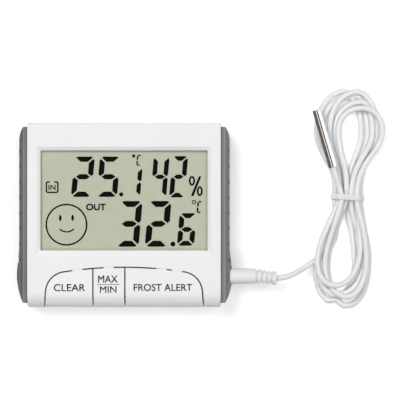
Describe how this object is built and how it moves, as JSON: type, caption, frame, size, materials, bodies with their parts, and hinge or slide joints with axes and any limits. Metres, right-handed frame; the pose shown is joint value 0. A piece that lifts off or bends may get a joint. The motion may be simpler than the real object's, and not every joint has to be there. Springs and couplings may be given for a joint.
{
  "type": "maximum minimum thermometer",
  "caption": "Indoor and outdoor maximum minimum thermometer with a digital display, button flaps, side grips, fold-out stand and a steel probe on a tied cord.",
  "frame": {"origin": "middle of the case's outline, in the plane of its back", "axes": "+Z the way the display faces, +Y to the top of the case, +X to its right, where the probe plugs in"},
  "size_m": [0.1651, 0.0976, 0.02],
  "materials": {
    "white_housing": "fine satin moulded ABS",
    "grey_grip": "satin moulded grip",
    "button_white": "fine satin moulded ABS",
    "clear_lens": "clear window",
    "lcd_film": "polarising film",
    "lcd_glass": "glass plate",
    "lcd_reflector": "grey green reflective film",
    "holder_white": "moulded",
    "zebra_rubber": "layered silicone",
    "board_green": "solder mask",
    "black_epoxy": "dull epoxy",
    "crystal_can": "bright can",
    "chip_part": "ceramic body",
    "switch_black": "moulded",
    "plunger_black": "moulded",
    "sensor_white": "moulded",
    "brass_disc": "thin disc",
    "contact_steel": "nickel plated",
    "screw_steel": "zinc plated",
    "cell_jacket": "gloss jacket",
    "socket_black": "moulded",
    "plug_metal": "nickel plated",
    "plug_ring": "insulator",
    "cord_pvc": "soft white PVC",
    "tie_rubber": "soft white band",
    "probe_steel": "polished stainless tube",
    "resin": "potting resin"
  },
  "bodies": {
    "root": {"front_housing": "white_housing", "rear_housing": "white_housing", "left_side_grip": "grey_grip", "right_side_grip": "grey_grip", "display_lens": "clear_lens", "lcd_polariser": "lcd_film", "lcd_front_glass": "lcd_glass", "lcd_rear_glass": "lcd_glass", "lcd_reflector": "lcd_reflector", "lcd_holder": "holder_white", "upper_zebra_strip": "zebra_rubber", "lower_zebra_strip": "zebra_rubber", "circuit_board": "board_green", "chip_blob": "black_epoxy", "quartz_crystal": "crystal_can", "chip_resistors_and_capacitors": "chip_part", "button_switches": "switch_black", "humidity_sensor": "sensor_white", "indoor_thermistor": "black_epoxy", "piezo_buzzer": "brass_disc", "probe_socket": "socket_black", "aaa_cell": "cell_jacket", "battery_spring_contact": "contact_steel", "battery_cap_contact": "contact_steel", "unit_switch": "switch_black", "housing_screws": "screw_steel", "board_screws": "screw_steel"},
    "clear_button": {"clear_button": "button_white"},
    "max_min_button": {"max_min_button": "button_white"},
    "alert_button": {"alert_button": "button_white"},
    "clear_plunger": {"clear_plunger": "plunger_black"},
    "max_min_plunger": {"max_min_plunger": "plunger_black"},
    "alert_plunger": {"alert_plunger": "plunger_black"},
    "unit_key": {"unit_key": "button_white"},
    "unit_plunger": {"unit_plunger": "plunger_black"},
    "battery_cover": {"battery_cover": "white_housing"},
    "table_stand": {"table_stand": "white_housing"},
    "probe_lead": {"plug_tip": "plug_metal", "plug_insulator": "plug_ring", "plug_sleeve": "plug_metal", "plug_boot": "cord_pvc", "cord_lead": "cord_pvc", "cord_hank": "cord_pvc", "cord_tail": "cord_pvc", "hank_tie": "tie_rubber", "probe_sleeve": "probe_steel", "probe_resin": "resin", "probe_thermistor": "black_epoxy"}
  },
  "joints": [
    {"name": "clear_press", "type": "hinge", "parent": "root", "child": "clear_button", "pos_m": [0, -0.02419, 0.0191], "axis": [1, 0, 0], "range_deg": [0, 1.6], "stiffness_Nm_per_rad": 0.2, "springref_deg": -0.57},
    {"name": "clear_switch", "type": "slide", "parent": "root", "child": "clear_plunger", "axis": [0, 0, -1], "range_m": [0, 0.00025]},
    {"name": "max_min_press", "type": "hinge", "parent": "root", "child": "max_min_button", "pos_m": [0, -0.02308, 0.0191], "axis": [1, 0, 0], "range_deg": [0, 1.42], "stiffness_Nm_per_rad": 0.2, "springref_deg": -0.57},
    {"name": "max_min_switch", "type": "slide", "parent": "root", "child": "max_min_plunger", "axis": [0, 0, -1], "range_m": [0, 0.00025]},
    {"name": "alert_press", "type": "hinge", "parent": "root", "child": "alert_button", "pos_m": [0, -0.02415, 0.0191], "axis": [1, 0, 0], "range_deg": [0, 1.6], "stiffness_Nm_per_rad": 0.2, "springref_deg": -0.57},
    {"name": "alert_switch", "type": "slide", "parent": "root", "child": "alert_plunger", "axis": [0, 0, -1], "range_m": [0, 0.00025]},
    {"name": "unit_key_press", "type": "slide", "parent": "root", "child": "unit_key", "axis": [0, 0, 1], "range_m": [0, 0.0003], "stiffness_N_per_m": 300, "springref_m": -0.0003},
    {"name": "unit_switch_press", "type": "slide", "parent": "root", "child": "unit_plunger", "axis": [0, 0, 1], "range_m": [0, 0.0003]},
    {"name": "battery_cover_open", "type": "hinge", "parent": "root", "child": "battery_cover", "pos_m": [0, 0.0234, 0.0009], "axis": [1, 0, 0], "range_deg": [0, 88]},
    {"name": "stand_fold", "type": "hinge", "parent": "root", "child": "table_stand", "pos_m": [0, 0.002, 0.0013], "axis": [1, 0, 0], "range_deg": [0, 65]},
    {"name": "probe_plug_pull", "type": "slide", "parent": "root", "child": "probe_lead", "axis": [1, 0, 0], "range_m": [0, 0.012]}
  ],
  "couplings": [
    {"joint": "clear_switch", "follows": "clear_press", "m_per_rad": 0.00881},
    {"joint": "max_min_switch", "follows": "max_min_press", "m_per_rad": 0.00992},
    {"joint": "alert_switch", "follows": "alert_press", "m_per_rad": 0.00885},
    {"joint": "unit_switch_press", "follows": "unit_key_press", "ratio": 1}
  ]
}
